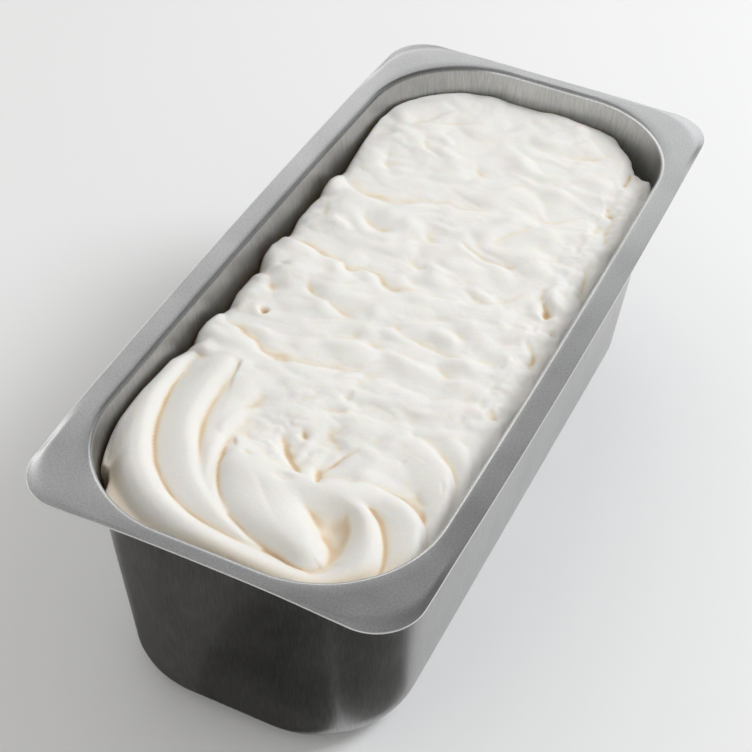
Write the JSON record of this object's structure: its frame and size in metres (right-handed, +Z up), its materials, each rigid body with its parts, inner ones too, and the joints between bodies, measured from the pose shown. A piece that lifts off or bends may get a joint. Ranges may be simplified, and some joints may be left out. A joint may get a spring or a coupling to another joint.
{
  "type": "ice cream pan",
  "caption": "Rectangular steel display pan with rounded corners and a flat flange, filled with white ice cream worked into soft folds and a spatula swirl.",
  "frame": {"origin": "centre of the flat underside, where the pan stands", "axes": "+Z up out of the pan's mouth, +Y along its length away from the swirled end, +X to the right seen from the swirled end"},
  "size_m": [0.1704, 0.3584, 0.12],
  "materials": {
    "steel": "fine satin brushing, soft broad reflections",
    "ice_cream": "soft, slightly translucent cream white with torn grain in places"
  },
  "bodies": {
    "root": {"pan": "steel", "ice_cream": "ice_cream"}
  },
  "joints": []
}
